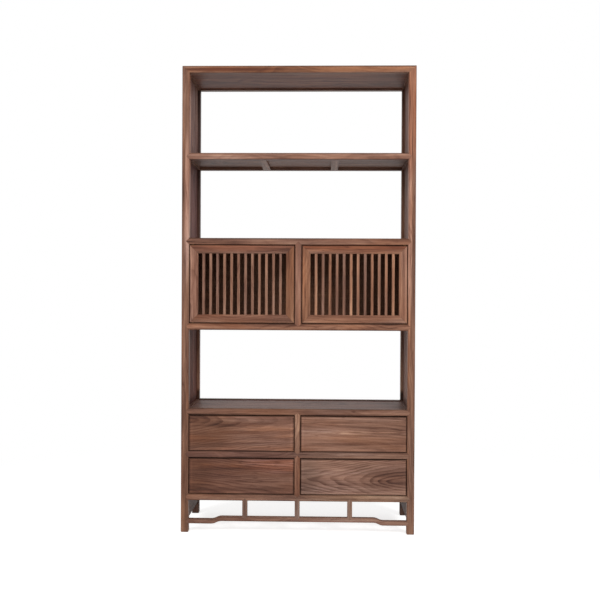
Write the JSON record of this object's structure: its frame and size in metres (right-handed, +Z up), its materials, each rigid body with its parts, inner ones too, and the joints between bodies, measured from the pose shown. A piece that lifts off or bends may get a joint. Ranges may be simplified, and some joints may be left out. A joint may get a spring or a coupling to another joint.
{
  "type": "book cabinet",
  "caption": "Tall open wooden book cabinet with open shelf bays, a case with side-hung barred doors, rows of flush drawers and an open base with a humped stretcher.",
  "frame": {"origin": "middle of the footprint, on the floor", "axes": "+X along the width to the viewer's right, -Y to the front, +Z up"},
  "size_m": [1, 0.35, 2],
  "materials": {
    "cabinet_wood": "satin lacquer over brown stain",
    "inner_wood": "thin matt lacquer",
    "brass": "turned",
    "steel": "brushed",
    "catch_plastic": "matt brown"
  },
  "bodies": {
    "cabinet": {"bottom_front_rail": "cabinet_wood", "bottom_panel": "inner_wood", "case_back_panel": "inner_wood", "case_bottom_front_rail": "cabinet_wood", "case_bottom_panel": "cabinet_wood", "case_top_front_rail": "cabinet_wood", "case_top_panel": "cabinet_wood", "centre_runners": "inner_wood", "door_catches": "catch_plastic", "door_divider": "cabinet_wood", "drawer_back_panels": "inner_wood", "drawer_middle_front_rail": "cabinet_wood", "drawer_stops": "inner_wood", "drawer_top_front_rail": "cabinet_wood", "drawer_top_panel": "cabinet_wood", "front_left_post": "cabinet_wood", "front_right_post": "cabinet_wood", "front_stretcher": "cabinet_wood", "left_side_panels": "cabinet_wood", "lower_drawer_divider": "cabinet_wood", "pivot_bushes": "brass", "rear_left_post": "cabinet_wood", "rear_rails": "cabinet_wood", "rear_right_post": "cabinet_wood", "right_side_panels": "cabinet_wood", "shelf_battens": "cabinet_wood", "side_aprons": "cabinet_wood", "side_rails": "cabinet_wood", "side_runners": "inner_wood", "stretcher_struts": "cabinet_wood", "top_battens": "cabinet_wood", "top_front_rail": "cabinet_wood", "top_panel": "cabinet_wood", "top_rear_rail": "cabinet_wood", "top_side_rails": "cabinet_wood", "upper_drawer_divider": "cabinet_wood", "upper_shelf_front_rail": "cabinet_wood", "upper_shelf_panel": "cabinet_wood"},
    "left_door": {"left_door_stiles": "cabinet_wood", "left_door_rails": "cabinet_wood", "left_door_bars": "cabinet_wood", "left_door_pivot_pins": "brass", "left_door_strike": "steel"},
    "right_door": {"right_door_stiles": "cabinet_wood", "right_door_rails": "cabinet_wood", "right_door_bars": "cabinet_wood", "right_door_pivot_pins": "brass", "right_door_strike": "steel"},
    "lower_left_drawer": {"lower_left_drawer_front": "cabinet_wood", "lower_left_drawer_box": "inner_wood", "lower_left_drawer_bottom": "inner_wood"},
    "lower_right_drawer": {"lower_right_drawer_front": "cabinet_wood", "lower_right_drawer_box": "inner_wood", "lower_right_drawer_bottom": "inner_wood"},
    "upper_left_drawer": {"upper_left_drawer_front": "cabinet_wood", "upper_left_drawer_box": "inner_wood", "upper_left_drawer_bottom": "inner_wood"},
    "upper_right_drawer": {"upper_right_drawer_front": "cabinet_wood", "upper_right_drawer_box": "inner_wood", "upper_right_drawer_bottom": "inner_wood"}
  },
  "joints": [
    {"name": "left_door_hinge", "type": "hinge", "parent": "cabinet", "child": "left_door", "pos_m": [-0.453, -0.167, 1.067], "axis": [0, 0, -1], "range_deg": [0, 105]},
    {"name": "right_door_hinge", "type": "hinge", "parent": "cabinet", "child": "right_door", "pos_m": [0.453, -0.167, 1.067], "axis": [0, 0, 1], "range_deg": [0, 105]},
    {"name": "lower_left_drawer_slide", "type": "slide", "parent": "cabinet", "child": "lower_left_drawer", "axis": [0, -1, 0], "range_m": [0, 0.26]},
    {"name": "lower_right_drawer_slide", "type": "slide", "parent": "cabinet", "child": "lower_right_drawer", "axis": [0, -1, 0], "range_m": [0, 0.26]},
    {"name": "upper_left_drawer_slide", "type": "slide", "parent": "cabinet", "child": "upper_left_drawer", "axis": [0, -1, 0], "range_m": [0, 0.26]},
    {"name": "upper_right_drawer_slide", "type": "slide", "parent": "cabinet", "child": "upper_right_drawer", "axis": [0, -1, 0], "range_m": [0, 0.26]}
  ]
}
